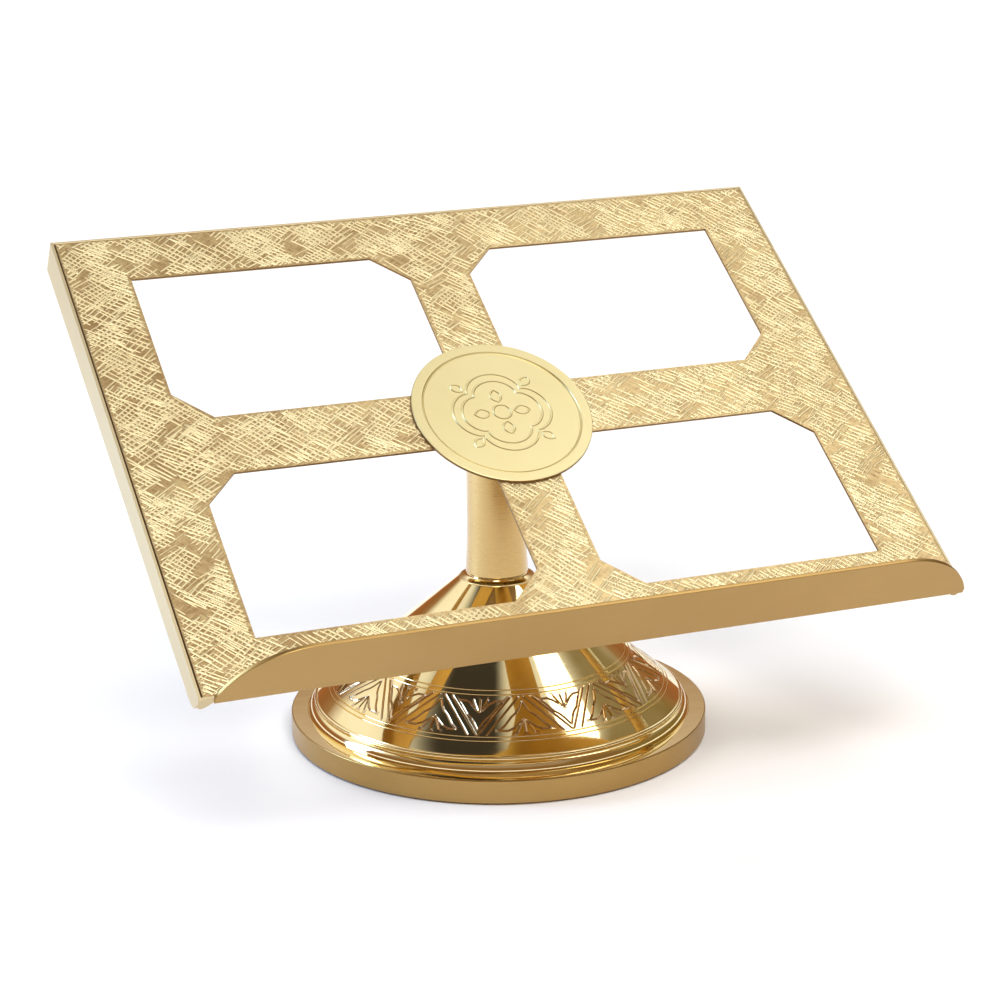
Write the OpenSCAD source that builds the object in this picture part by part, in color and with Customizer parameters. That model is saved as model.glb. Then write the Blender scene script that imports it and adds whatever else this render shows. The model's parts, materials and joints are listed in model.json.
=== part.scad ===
// Bible stand: a windowed brass desk with a book ledge, tilting on a knuckle,
// on a stem that turns on a spun, weighted foot.
// The origin is the centre of the foot's underside; +Z is up, the ledge faces -Y.

/* [Desk] */
// Overall width of the desk, over the side rails
desk_w = 355.6; // [290:0.1:430]
// Overall depth of the desk, from the ledge's front face to the back rail
desk_d = 266; // [220:0.1:320]
// Thickness of the desk sheet
sheet_t = 1.2; // [1:0.1:3]
// Thickness of the side and back rails
rail_t = 1.3; // [1:0.1:3]
// Depth of the back rail, and of the side rails at the back, below the desk's face
rail_h = 17.5; // [12:0.1:26]
// Depth that the side rails taper to at the front
rail_front_h = 12; // [9:0.1:12]
// Angle of the desk above the horizontal
desk_tilt = 34; // [20:0.1:45]
// Width of the side borders, from the rail's outer face to the windows
border_side = 31.3; // [24:0.1:40]
// Width of the back border
border_back = 28; // [22:0.5:40]
// Width of the front border
border_front = 27.5; // [22:0.5:40]
// Width of the bar that runs from front to back
bar_long = 30; // [24:0.1:40]
// Width of the bar that runs from side to side
bar_cross = 33; // [27:0.1:44]
// Length of the cut across the window corners where the bars meet the border
window_cut = 15.7; // [8:0.1:22]

/* [Ledge] */
// Thickness of the ledge
ledge_t = 2; // [1.2:0.1:3]
// Height of the ledge above the desk's face
ledge_rise = 26; // [15:0.1:40]
// How far the ledge reaches below the desk's face
ledge_drop = 3; // [2:0.5:8]
// How much shorter than the desk the ledge is at each end
ledge_inset = 3.4; // [1:0.1:10]
// How far the ledge sits to the right of the desk's middle
ledge_shift = 3.3; // [0:0.1:4]
// Radius of the ledge's rounded ends
ledge_end_r = 43; // [40:1:60]

/* [Medallion] */
// Diameter of the medallion
medallion_d = 84.2; // [64:0.1:102]
// Thickness of the medallion at its rim
medallion_t = 1.6; // [1.2:0.1:3]
// Width of the medallion's raised rim
medallion_rim = 5.2; // [3:0.1:8]
// Depth of the field inside the raised rim
medallion_sink = 0.4; // [0.2:0.1:0.6]

/* [Foot] */
// Diameter of the foot
foot_d = 194; // [160:0.1:240]
// Height of the foot's satin rim above the surface
rim_h = 11.8; // [10:0.1:15]
// Width of the flat ledge on top of the rim
rim_ledge = 8.3; // [5:0.1:10]
// Height of the cone's top edge
cone_top = 74.6; // [60:0.1:90]
// Wall of the spun foot
shell_t = 1.5; // [1:0.1:2]
// Thickness of the felt under the foot
felt_t = 2; // [1.5:0.1:3]
// Thickness of the closing disc above the felt
cover_t = 1.2; // [0.8:0.1:2]

/* [Stem] */
// Outer diameter of the stem tube, above its flare
stem_d = 27.4; // [22:0.1:34]
// How much the stem's foot stands out beyond the tube
stem_flare = 0.8; // [0:0.1:2]
// Height over which the stem flares
flare_h = 25; // [10:1:35]
// Wall of the stem tube
stem_wall = 2; // [1.5:0.1:3]
// Height of the stem tube
stem_h = 49.6; // [40:0.1:70]
// Height of the turned collar under the stem
neck_h = 2.2; // [2:0.1:5]
// Diameter of the rod that ties the stem to the foot
rod_d = 8; // [6:0.1:10]
// Thickness of the bearing washer under the stem
thrust_t = 0.6; // [0.4:0.1:1.2]

/* [Knuckle] */
// Width of the tongue on the stem
tongue_w = 12; // [9:0.1:16]
// Radius of the tongue's round top
tongue_r = 7.5; // [6.2:0.1:9]
// Height of the tilt axis above the stem's cap
pivot_rise = 12; // [11.5:0.1:20]
// Thickness of the stem's cap
cap_t = 3.5; // [2:0.5:6]
// Thickness of each ear of the yoke
ear_t = 4; // [3:0.1:6]
// Thickness of the yoke's web
web_t = 3.8; // [2:0.1:5]
// Diameter of the tilt bolt
bolt_d = 6; // [5:0.1:7.2]
// Thickness of the friction washers
friction_t = 1; // [0.5:0.1:2]
// Diameter of the clamp knob's grip
knob_d = 19; // [15:0.1:20]

/* [Hidden] */
$fn = 96;

run_gap = 0.05;      // radial clearance of a pin that turns in its bore
seat_gap = 0.3;      // radial clearance of a part dropped into a seat
eps = 0.01;          // overlap that makes a cut go right through
broken = 0.8;        // broken edge on turned steel and brass pieces
curve_n = 6;         // steps in a turned curve

// foot, from the surface up
foot_r = foot_d / 2;
rim_edge = 0.6;                           // broken edge round the rim
crimp_w = 3;                              // the rim is rolled in under the closing disc
crimp_t = 1;
rim_lift = felt_t - crimp_t;              // the metal rim clears the surface; the felt carries it
inner_r = foot_r - shell_t;
ovolo_r = foot_r - rim_ledge;             // foot of the lower moulding
ovolo_w = 3.1;
ovolo_h = 4.6;
bead_r = 1;                               // small bead between the moulding and the cone
bead_in = 0.4;                            // the bead's centre stands this far inside the moulding
bead_step = 0.5;                          // and the cone starts this far inside the bead's centre
bead_fillet = 0.2;
bead_x = ovolo_r - ovolo_w - bead_in;
band_r = bead_x - bead_step;              // lower end of the polished cone
band_z = rim_h + ovolo_h + 2 * bead_r + bead_fillet;
stem_foot_r = stem_d / 2 + stem_flare;
cone_lip = 3.1;                           // the cone's top stands out beyond the stem's foot
cone_top_r = stem_foot_r + cone_lip;
cone_slope = atan((cone_top - band_z) / (band_r - cone_top_r));
cone_drop = shell_t / cos(cone_slope);    // the cone's wall, measured straight down
ballast_hole_r = 34;                      // room for a spanner on the rod's nut
ballast_gap = 4;                          // the weight's shoulder stays this far inside the cone's foot
ballast_slope_w = 12;
ballast_step_h = 9;                       // height of the weight above its shoulder

// stem and turning joint
bush_r = rod_d / 2 + 4;
bush_body = 12;                           // length of the bush below its collar
bush_edge = 1;
bush_nut_h = 4;
bush_hex = bush_r + 4.5;                  // corner radius of the nut on the bush
washer_r = bush_r + 1;
washer_t = 1.2;
spring_r = washer_r - 2;
spring_t = 1.6;
lock_nut_h = 6.5;
lock_nut_hex = rod_d / 2 + 3.5;           // corner radius
rod_tail = 2.5;                           // rod standing out below its nut
rod_in_cap = 8;                           // rod screwed into the knuckle head
plug_h = 12;
spigot_h = 14;                            // part of the knuckle head inside the tube
neck_z = cone_top;
thrust_z = neck_z + neck_h;
stem_z = thrust_z + thrust_t;
neck_r = stem_foot_r - 0.9;               // the collar's waist, just inside the stem
neck_lip = 0.2;                           // the collar's foot stays this far inside the cone's edge
neck_lip_h = 0.3;
thrust_r = stem_foot_r - 2;
stem_top = stem_z + stem_h;
bore_r = stem_d / 2 - stem_wall;
rod_r = rod_d / 2;
bush_end = neck_z - bush_body;
pivot_z = stem_top + cap_t + pivot_rise;

// knuckle
bolt_r = bolt_d / 2;
ear_x = tongue_w / 2 + friction_t;        // inner face of each ear
ear_out = ear_x + ear_t;
ear_r = tongue_r + 0.5;
knuckle_gap = 1;                          // between the tongue's round top and the yoke's web
pivot_drop = tongue_r + knuckle_gap + web_t + sheet_t;   // from the desk's face down to the tilt axis
web_top = pivot_drop - sheet_t;
cap_edge = 1.5;
web_w = 46;
web_d = 24;
screw_x = 17.5;
screw_y = 7.5;
screw_r = 2;
screw_head_r = screw_r + 1.8;
screw_head_h = sheet_t - 0.2;
friction_r = tongue_r - 0.5;
bolt_head_r = bolt_r + 2.5;
bolt_head_h = 3.2;
knob_hub_r = bolt_r + 3;
knob_hub_h = 12;
knob_neck_h = 2;                          // slope from the knob's hub to its grip
knob_grip_h = 9;
knob_edge = 1;
flutes = 20;
flute_r = 1.2;
flute_out = 0.6;                          // the flutes' centres stand this far outside the grip
knob_blind = 3;                           // solid end of the knob beyond the bolt
knob_x = ear_out + washer_t;
bolt_end = knob_x + knob_hub_h + knob_grip_h - knob_blind;

// desk, in its own frame: origin on the tilt axis, +Z square to the desk's face
face_z = pivot_drop;
rail_x = desk_w / 2 - rail_t;             // inner face of the side rails
back_y = desk_d / 2 - rail_t;             // inner face of the back rail
front_y = ledge_t - desk_d / 2;           // back face of the ledge
window_x = desk_w / 2 - border_side;
window_back = desk_d / 2 - border_back;
window_front = desk_d / 2 - border_front;
rail_end_cut = 8;                         // the rails' front corners are rounded off over this length
rail_end_pull = 1;                        // how near the rounding comes to the rail's square corner
rail_end_top = 6;                         // height of the rail left square at its front end
lip_w = ledge_inset + ledge_shift;        // the left rail turns in to meet the end of the ledge
lip_h = 6.5;
medal_edge = 0.4;
medal_step = 0.5;
ledge_x = desk_w / 2 - ledge_inset;

// points of an arc about c, from angle a to angle b
function arc(c, r, a, b, n) = [for (i = [0:n]) c + r * [cos(a + (b - a) * i / n), sin(a + (b - a) * i / n)]];
// points of a curve from p to q, drawn towards c
function bend(p, c, q, n) = [for (i = [0:n]) let (t = i / n) (1 - t) * (1 - t) * p + 2 * t * (1 - t) * c + t * t * q];

module ring(r_out, r_in, h) {
    difference() {
        cylinder(r = r_out, h = h);
        translate([0, 0, -eps]) cylinder(r = r_in, h = h + 2 * eps);
    }
}

// hexagon nut with its corners turned off
module hex_nut(corner_r, bore, h) {
    turned = 0.12 * corner_r;
    difference() {
        intersection() {
            cylinder(r = corner_r, h = h, $fn = 6);
            rotate_extrude() polygon([[0, 0], [corner_r - turned, 0], [corner_r, turned],
                [corner_r, h - turned], [corner_r - turned, h], [0, h]]);
        }
        translate([0, 0, -eps]) cylinder(r = bore, h = h + 2 * eps);
    }
}

// draws its children in the desk's own frame
module on_desk() {
    translate([0, 0, pivot_z]) rotate([desk_tilt, 0, 0]) children();
}

// draws its children about the tilt axis, with +Z along +X from x
module on_axle(x) {
    translate([x, 0, 0]) rotate([0, 90, 0]) children();
}

// ---- foot ----

module base_shell() {
    ceiling = cone_top - shell_t;
    rim = [[foot_r - rim_edge, rim_lift], [foot_r, rim_lift + rim_edge], [foot_r, rim_h - rim_edge],
        [foot_r - rim_edge, rim_h]];
    ovolo = [for (i = [0:5]) let (a = 18 * i)
        [ovolo_r - ovolo_w + ovolo_w * cos(a), rim_h + ovolo_h * sin(a)]];
    bead = arc([bead_x, rim_h + ovolo_h + bead_r], bead_r, -60, 90, 5);
    cone = [[band_r, band_z], [cone_top_r, cone_top]];
    inside = [[bush_r, cone_top], [bush_r, ceiling],
        [cone_top_r - (cone_drop - shell_t) / tan(cone_slope), ceiling],
        [band_r - shell_t, band_z + shell_t * tan(cone_slope) - cone_drop],
        [band_r - shell_t, rim_h - shell_t], [inner_r, rim_h - shell_t], [inner_r, rim_lift + crimp_t],
        [inner_r - crimp_w, rim_lift + crimp_t], [inner_r - crimp_w, rim_lift]];
    color("goldenrod") rotate_extrude() polygon(concat(rim, ovolo, bead, cone, inside));
}

module base_cover() {
    color("dimgray") translate([0, 0, rim_lift + crimp_t])
        cylinder(r = inner_r - seat_gap, h = cover_t);
}

module felt_pad() {
    color("darkgreen") cylinder(r = inner_r - crimp_w - seat_gap, h = rim_lift + crimp_t);
}

module base_ballast() {
    floor_z = rim_lift + crimp_t + cover_t;
    step_z = rim_h - shell_t - seat_gap;
    shoulder_r = band_r - ballast_gap;
    color("gray") rotate_extrude() polygon([
        [ballast_hole_r, floor_z], [inner_r - seat_gap, floor_z], [inner_r - seat_gap, step_z],
        [shoulder_r, step_z], [shoulder_r - ballast_slope_w, step_z + ballast_step_h],
        [ballast_hole_r, step_z + ballast_step_h]]);
}

// collar seen between foot and stem, with the threaded bush below it
module neck_bush() {
    foot = cone_top_r - neck_lip;
    waist = bend([foot, neck_lip_h], [neck_r, 2 * neck_lip_h], [neck_r, neck_h], curve_n);
    color("goldenrod") translate([0, 0, neck_z]) difference() {
        rotate_extrude() polygon(concat([[0, -bush_body], [bush_r - bush_edge, -bush_body],
            [bush_r, bush_edge - bush_body], [bush_r, 0], [foot, 0]], waist, [[0, neck_h]]));
        translate([0, 0, -bush_body - eps])
            cylinder(r = rod_r + run_gap, h = bush_body + neck_h + 2 * eps);
    }
}

module bush_nut() {
    color("silver") translate([0, 0, cone_top - shell_t - bush_nut_h])
        hex_nut(bush_hex, bush_r, bush_nut_h);
}

// ---- stem ----

module thrust_washer() {
    color("ivory") translate([0, 0, thrust_z])
        ring(thrust_r, rod_r + run_gap, thrust_t);
}

module stem_tube() {
    stem_r = stem_d / 2;
    flare = bend([stem_foot_r, 0], [stem_r, flare_h / 2], [stem_r, flare_h], curve_n);
    color("goldenrod") translate([0, 0, stem_z])
        rotate_extrude() polygon(concat([[bore_r, 0]], flare, [[stem_r, stem_h], [bore_r, stem_h]]));
}

module stem_foot_plug() {
    color("darkgoldenrod") translate([0, 0, stem_z]) ring(bore_r, rod_r, plug_h);
}

module knuckle_head() {
    spigot_z = -spigot_h;
    color("goldenrod") translate([0, 0, stem_top]) difference() {
        union() {
            translate([0, 0, spigot_z]) cylinder(r = bore_r, h = spigot_h + eps);
            rotate_extrude() polygon([[0, 0], [stem_d / 2, 0], [stem_d / 2, cap_t - cap_edge],
                [stem_d / 2 - cap_edge, cap_t], [0, cap_t]]);
            translate([-tongue_w / 2, -tongue_r, 0])
                cube([tongue_w, 2 * tongue_r, cap_t + pivot_rise]);
            translate([0, 0, cap_t + pivot_rise]) on_axle(-tongue_w / 2)
                cylinder(r = tongue_r, h = tongue_w);
        }
        translate([0, 0, spigot_z - eps]) cylinder(r = rod_r, h = rod_in_cap + eps);
        translate([0, 0, cap_t + pivot_rise]) on_axle(-tongue_w / 2 - eps)
            cylinder(r = bolt_r + run_gap, h = tongue_w + 2 * eps);
    }
}

module tie_rod() {
    end_z = bush_end - washer_t - spring_t - lock_nut_h - rod_tail;
    top_z = stem_top - spigot_h + rod_in_cap;
    color("silver") translate([0, 0, end_z]) rotate_extrude() polygon([[0, 0], [rod_r - broken, 0],
        [rod_r, broken], [rod_r, top_z - end_z], [0, top_z - end_z]]);
}

module rod_washer() {
    color("silver") translate([0, 0, bush_end - washer_t]) ring(washer_r, rod_r, washer_t);
}

module spring_washer() {
    color("gray") translate([0, 0, bush_end - washer_t - spring_t])
        ring(spring_r, rod_r, spring_t);
}

module rod_lock_nut() {
    color("silver") translate([0, 0, bush_end - washer_t - spring_t - lock_nut_h])
        hex_nut(lock_nut_hex, rod_r, lock_nut_h);
}

// ---- knuckle under the desk ----

module hinge_yoke() {
    color("darkgoldenrod") on_desk() difference() {
        union() {
            translate([-web_w / 2, -web_d / 2, web_top - web_t]) cube([web_w, web_d, web_t]);
            for (side = [-1, 1]) {
                x = side > 0 ? ear_x : -ear_out;
                translate([x, -ear_r, 0]) cube([ear_t, 2 * ear_r, web_top - web_t + eps]);
                on_axle(x) cylinder(r = ear_r, h = ear_t);
            }
        }
        on_axle(-ear_out - eps) cylinder(r = bolt_r + run_gap, h = 2 * ear_out + 2 * eps);
        for (x = [-screw_x, screw_x], y = [-screw_y, screw_y])
            translate([x, y, web_top - web_t - eps]) cylinder(r = screw_r, h = web_t + 2 * eps);
    }
}

module yoke_screws() {
    color("silver") on_desk() for (x = [-screw_x, screw_x], y = [-screw_y, screw_y])
        translate([x, y, 0]) rotate_extrude() polygon([[0, web_top - web_t], [screw_r, web_top - web_t],
            [screw_r, face_z - screw_head_h], [screw_head_r, face_z], [0, face_z]]);
}

module tilt_bolt() {
    bolt_len = ear_out + bolt_head_h + bolt_end;
    color("goldenrod") on_desk() on_axle(-ear_out - bolt_head_h) rotate_extrude() polygon([[0, 0],
        [bolt_head_r - broken, 0], [bolt_head_r, broken], [bolt_head_r, bolt_head_h], [bolt_r, bolt_head_h],
        [bolt_r, bolt_len], [0, bolt_len]]);
}

module friction_washers() {
    color("saddlebrown") on_desk() for (x = [-ear_x, tongue_w / 2])
        on_axle(x) ring(friction_r, bolt_r + run_gap, friction_t);
}

module clamp_washer() {
    color("goldenrod") on_desk() on_axle(ear_out) ring(knob_hub_r + 1, bolt_r + run_gap, washer_t);
}

// knurled knob that nips the ears on to the tongue
module clamp_knob() {
    grip_r = knob_d / 2;
    knob_h = knob_hub_h + knob_grip_h;
    color("goldenrod") on_desk() on_axle(knob_x) difference() {
        rotate_extrude() polygon([[0, 0], [knob_hub_r - knob_edge / 2, 0], [knob_hub_r, knob_edge / 2],
            [knob_hub_r, knob_hub_h - knob_neck_h], [grip_r - knob_edge, knob_hub_h],
            [grip_r, knob_hub_h + knob_edge], [grip_r, knob_h - knob_edge], [grip_r - knob_edge, knob_h],
            [0, knob_h]]);
        translate([0, 0, -eps]) cylinder(r = bolt_r + run_gap, h = knob_h - knob_blind + 2 * eps);
        for (i = [1:flutes]) rotate(360 / flutes * i)
            translate([grip_r + flute_out, 0, knob_hub_h - knob_neck_h - flute_out])
                cylinder(r = flute_r, h = knob_grip_h + 2 * knob_neck_h, $fn = 24);
    }
}

// ---- desk ----

// one window, in the quarter where x and y are positive, y_end its far edge
module window(y_end) {
    polygon([[bar_long / 2, bar_cross / 2], [window_x - window_cut, bar_cross / 2],
        [window_x, bar_cross / 2 + window_cut], [window_x, y_end],
        [bar_long / 2 + window_cut, y_end], [bar_long / 2, y_end - window_cut]]);
}

module desk_plate() {
    color("khaki") on_desk() translate([0, 0, face_z - sheet_t]) difference() {
        translate([-rail_x, front_y, 0]) cube([2 * rail_x, back_y - front_y, sheet_t]);
        for (m = [0, 1]) mirror([m, 0, 0]) {
            translate([0, 0, -eps]) linear_extrude(sheet_t + 2 * eps) window(window_back);
            mirror([0, 1, 0]) translate([0, 0, -eps]) linear_extrude(sheet_t + 2 * eps) window(window_front);
        }
        for (x = [-screw_x, screw_x], y = [-screw_y, screw_y]) translate([x, y, 0])
            rotate_extrude() polygon([[0, -eps], [screw_r, -eps], [screw_r, sheet_t - screw_head_h],
                [screw_head_r, sheet_t], [screw_head_r, sheet_t + eps], [0, sheet_t + eps]]);
    }
}

// side rail, tapering to the front, with its front corner rounded off behind the ledge
module side_rail(side) {
    x = side > 0 ? rail_x : -rail_x - rail_t;
    back = desk_d / 2;
    outline = concat([[back, 0], [back, -rail_h]],
        bend([front_y + rail_end_cut, -rail_front_h], [front_y + rail_end_pull, rail_end_pull - rail_front_h],
            [front_y, -rail_end_top], curve_n), [[front_y, 0]]);
    color("wheat") on_desk() translate([x, 0, face_z]) rotate([90, 0, 90])
        linear_extrude(rail_t) polygon(outline);
}

module side_rail_left() {
    under = bend([0, -0.7 * lip_h], [0.15 * lip_w, -1.35 * lip_h], [lip_w, -ledge_drop], curve_n);
    color("wheat") union() {
        side_rail(-1);
        on_desk() translate([-desk_w / 2, front_y + eps, face_z]) rotate([90, 0, 0])
            linear_extrude(rail_t) polygon(concat([[0, 0]], under, [[lip_w, 0]]));
    }
}

module side_rail_right() {
    side_rail(1);
}

module back_rail() {
    color("wheat") on_desk() translate([-rail_x, back_y, face_z - rail_h])
        cube([2 * rail_x, rail_t, rail_h]);
}

module book_ledge() {
    sweep = acos(1 - ledge_rise / ledge_end_r);
    end_dx = ledge_end_r * sin(sweep);
    steps = 2 * curve_n;
    right_end = arc([ledge_x - end_dx, ledge_rise - ledge_end_r], ledge_end_r, 90 - sweep, 90, steps);
    left_end = [for (i = [0:steps]) [-right_end[steps - i][0], right_end[steps - i][1]]];
    color("peru") on_desk() translate([ledge_shift, front_y, face_z]) rotate([90, 0, 0])
        linear_extrude(ledge_t) polygon(concat([[-ledge_x, -ledge_drop], [ledge_x, -ledge_drop]],
            right_end, left_end));
}

module medallion() {
    medal_r = medallion_d / 2;
    field_r = medal_r - medallion_rim;
    sink_z = medallion_t - medallion_sink;
    color("khaki") on_desk() translate([0, 0, face_z]) rotate_extrude() polygon([[0, 0], [medal_r, 0],
        [medal_r, medallion_t - medal_edge], [medal_r - medal_edge, medallion_t], [field_r, medallion_t],
        [field_r - medal_step, sink_z], [0, sink_z]]);
}

base_shell();
base_ballast();
base_cover();
felt_pad();
neck_bush();
bush_nut();
thrust_washer();
stem_tube();
stem_foot_plug();
knuckle_head();
tie_rod();
rod_washer();
spring_washer();
rod_lock_nut();
hinge_yoke();
yoke_screws();
tilt_bolt();
friction_washers();
clamp_washer();
clamp_knob();
desk_plate();
side_rail_left();
side_rail_right();
back_rail();
book_ledge();
medallion();
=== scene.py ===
"""Looks of the bible stand: a windowed brass desk on a turning stem and a spun, engraved foot."""
import json
import math
import random

import bmesh
import bpy
from mathutils import Matrix, Vector
from mathutils.geometry import delaunay_2d_cdt

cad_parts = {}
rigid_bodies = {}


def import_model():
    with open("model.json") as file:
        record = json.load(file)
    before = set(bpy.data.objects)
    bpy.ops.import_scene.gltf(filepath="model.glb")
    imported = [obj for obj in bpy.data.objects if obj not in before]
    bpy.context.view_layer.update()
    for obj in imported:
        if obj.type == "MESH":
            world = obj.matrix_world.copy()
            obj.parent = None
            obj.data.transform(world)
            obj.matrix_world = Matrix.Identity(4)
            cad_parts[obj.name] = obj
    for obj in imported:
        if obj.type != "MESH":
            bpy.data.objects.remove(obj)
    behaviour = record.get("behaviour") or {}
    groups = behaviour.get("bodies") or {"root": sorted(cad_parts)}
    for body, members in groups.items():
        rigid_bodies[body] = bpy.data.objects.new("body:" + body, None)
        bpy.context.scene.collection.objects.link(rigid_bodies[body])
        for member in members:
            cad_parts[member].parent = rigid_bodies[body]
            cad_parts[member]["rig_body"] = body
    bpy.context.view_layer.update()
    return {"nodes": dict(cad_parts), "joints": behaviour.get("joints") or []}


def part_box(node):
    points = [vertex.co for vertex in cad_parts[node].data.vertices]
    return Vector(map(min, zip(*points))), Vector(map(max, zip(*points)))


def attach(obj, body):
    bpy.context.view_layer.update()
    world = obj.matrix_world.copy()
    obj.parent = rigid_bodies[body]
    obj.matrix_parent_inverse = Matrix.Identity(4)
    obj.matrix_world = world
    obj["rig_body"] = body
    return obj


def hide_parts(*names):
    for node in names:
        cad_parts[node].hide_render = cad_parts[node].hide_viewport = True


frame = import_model()

MM = 0.001
TURN = 2 * math.pi
ROUND_STEPS = 4                 # steps in a small rounded edge

# ---- where the frame says things are ----

joint_at = {joint["name"]: Vector(joint["pos_m"]) for joint in frame["joints"]}


def desk_slope():
    """Angle of the desk above the horizontal, from the largest face of its sheet."""
    sheet = frame["nodes"]["desk_plate"].data
    normal = max(sheet.polygons, key=lambda face: face.area * (face.normal.z > 0)).normal
    return math.atan2(-normal.y, normal.z)


DESK = Matrix.Translation(joint_at["desk_tilt"]) @ Matrix.Rotation(desk_slope(), 4, "X")
DESK_BACK = DESK.inverted()


def desk_box(node):
    """Lowest and highest corner of a node in the desk's own frame."""
    points = [DESK_BACK @ vertex.co for vertex in frame["nodes"][node].data.vertices]
    low = Vector(min(point[axis] for point in points) for axis in range(3))
    high = Vector(max(point[axis] for point in points) for axis in range(3))
    return low, high


# ---- camera ----

def place_camera():
    azimuth, elevation, roll = -0.380432, 0.269902, -0.012955
    distance, aside, aim_height = 1.20991, -0.012585, 0.126038
    focal_over_width, off_x, off_y = 2.63835, 0.0315, -0.0315
    back = Vector((math.sin(azimuth) * math.cos(elevation), -math.cos(azimuth) * math.cos(elevation),
                   math.sin(elevation)))
    aim = Vector((aside * math.cos(azimuth), aside * math.sin(azimuth), aim_height))
    level = (-back).cross(Vector((0, 0, 1))).normalized()
    upright = back.cross(level)
    across = level * math.cos(roll) + upright * math.sin(roll)
    upward = upright * math.cos(roll) - level * math.sin(roll)
    lens = bpy.data.cameras.new("camera")
    lens.sensor_width = 36
    lens.lens = focal_over_width * lens.sensor_width
    lens.shift_x, lens.shift_y = off_x, off_y
    lens.clip_start, lens.clip_end = 0.05, 60
    camera = bpy.data.objects.new("camera", lens)
    camera.matrix_world = Matrix.Translation(aim + back * distance) @ Matrix(
        (across, upward, back)).transposed().to_4x4()
    bpy.context.scene.collection.objects.link(camera)
    bpy.context.scene.camera = camera


# ---- shader maths ----

class Wire:
    """The output of a node, to reckon with as with a number."""

    def __init__(self, bench, socket):
        self.bench, self.socket = bench, socket

    def __add__(self, other):
        return self.bench.maths("ADD", self, other)

    def __sub__(self, other):
        return self.bench.maths("SUBTRACT", self, other)

    def __rsub__(self, other):
        return self.bench.maths("SUBTRACT", other, self)

    def __mul__(self, other):
        return self.bench.maths("MULTIPLY", self, other)

    __radd__, __rmul__ = __add__, __mul__


class Bench:
    """A material's nodes, laid out one call at a time."""

    def __init__(self, tree):
        self.tree = tree
        tree.nodes.clear()

    def node(self, kind, settings=None, values=None, output=0):
        """A node of that kind, its settings made first, then the values or links of its sockets."""
        made = self.tree.nodes.new("ShaderNode" + kind)
        for name, setting in (settings or {}).items():
            if name == "stops":
                self.lay_stops(made.color_ramp, setting)
            else:
                setattr(made, name, setting)
        for name, value in (values or {}).items():
            if isinstance(value, Wire):
                self.tree.links.new(value.socket, made.inputs[name])
            else:
                made.inputs[name].default_value = value
        return Wire(self, made.outputs[output]) if made.outputs else None

    @staticmethod
    def lay_stops(ramp, stops):
        while len(ramp.elements) < len(stops):
            ramp.elements.new(1)
        for element, (place, colour) in zip(ramp.elements, stops):
            element.position, element.color = place, (*colour, 1)

    def maths(self, operation, *numbers):
        return self.node("Math", {"operation": operation}, dict(enumerate(numbers)))

    def clamped(self, number):
        return self.node("Clamp", None, {0: number})

    def steps(self, number, low, high):
        """0 below low, 1 above high, smooth between."""
        return self.node("MapRange", {"interpolation_type": "SMOOTHSTEP"},
                         {"Value": number, "From Min": low, "From Max": high})

    def place(self):
        """Places on the piece, in its own frame, in millimetres."""
        return self.scaled(self.node("TexCoord", None, None, "Object"), (1000, 1000, 1000))

    def scaled(self, vector, by):
        return self.node("VectorMath", {"operation": "MULTIPLY"}, {0: vector, 1: by})

    def noise(self, vector, scale, detail=2.0, rough=0.5):
        return self.node("TexNoise", None, {"Vector": vector, "Scale": scale, "Detail": detail,
                                            "Roughness": rough})

    def mixed(self, share, first, second):
        return self.node("Mix", {"data_type": "RGBA"}, {"Factor": share, 6: first, 7: second}, 2)

    def bump(self, height, depth, strength):
        return self.node("Bump", None, {"Height": height, "Distance": depth, "Strength": strength})


def colour(red, green, blue):
    return (red, green, blue, 1)


FINISHES = {}
LEANS = (math.radians(-43), math.radians(34))       # the two directions of the desk's hatching


def finish(name):
    """Registers a function that lays out the nodes of a finish and returns the sockets of its shader."""
    def register(build):
        def made():
            if name not in FINISHES:
                material = bpy.data.materials.new(name)
                material.use_nodes = True
                bench = Bench(material.node_tree)
                shader = bench.node("BsdfPrincipled", None, build(bench))
                bench.node("OutputMaterial", None, {"Surface": shader})
                FINISHES[name] = material
            return FINISHES[name]
        return made
    return register


BRASS = colour(0.48, 0.31, 0.115)
DEEP_BRASS = colour(0.39, 0.24, 0.08)
# The three pale colours below are lighter, whiter copies of the brass, partly a painted highlight of the bright
# light on the medallion and the rails.
PALE_BRASS = colour(0.64, 0.54, 0.27)
CREAM_BRASS = colour(0.70, 0.615, 0.345)
PAINTED_HIGHLIGHT_BRASS = colour(0.63, 0.52, 0.32)


def brushed(bench, along, light, dark, roughness):
    """Satin metal with fine streaks; along holds how little the streaks change in each direction."""
    place = bench.place()
    fine = bench.noise(bench.scaled(place, along), 2.6, 3.0, 0.6)
    broad = bench.noise(place, 0.035, 2.0)
    tone = bench.clamped(0.62 * fine + 0.7 * broad - 0.16)
    return {
        "Base Color": bench.mixed(tone, dark, light),
        "Metallic": 1.0,
        "Roughness": roughness + 0.14 * (fine - 0.5) + 0.1 * (broad - 0.5),
        "Normal": bench.bump(fine, 0.00002, 0.5),
    }


@finish("satin_brass_strip")
def satin_strip(bench):
    return brushed(bench, (0.03, 1, 1), BRASS, DEEP_BRASS, 0.34)


# The rails' pale brass is partly paler satin brass, partly a painted highlight of the bright light they catch.
@finish("pale_brass_strip")
def pale_strip(bench):
    return brushed(bench, (0.03, 1, 1), PAINTED_HIGHLIGHT_BRASS, colour(0.55, 0.44, 0.25), 0.36)


@finish("satin_brass_turned")
def satin_turned(bench):
    return brushed(bench, (0.04, 0.04, 1), BRASS, DEEP_BRASS, 0.33)


@finish("satin_brass_tube")
def satin_tube(bench):
    sockets = brushed(bench, (0.04, 0.04, 1), colour(0.63, 0.43, 0.155), colour(0.55, 0.36, 0.12), 0.28)
    return {**sockets, "Coat Weight": 1.0, "Coat Roughness": 0.25}


# The medallion's pale brass is partly paler brass, partly a painted highlight of the overhead light it mirrors.
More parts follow.
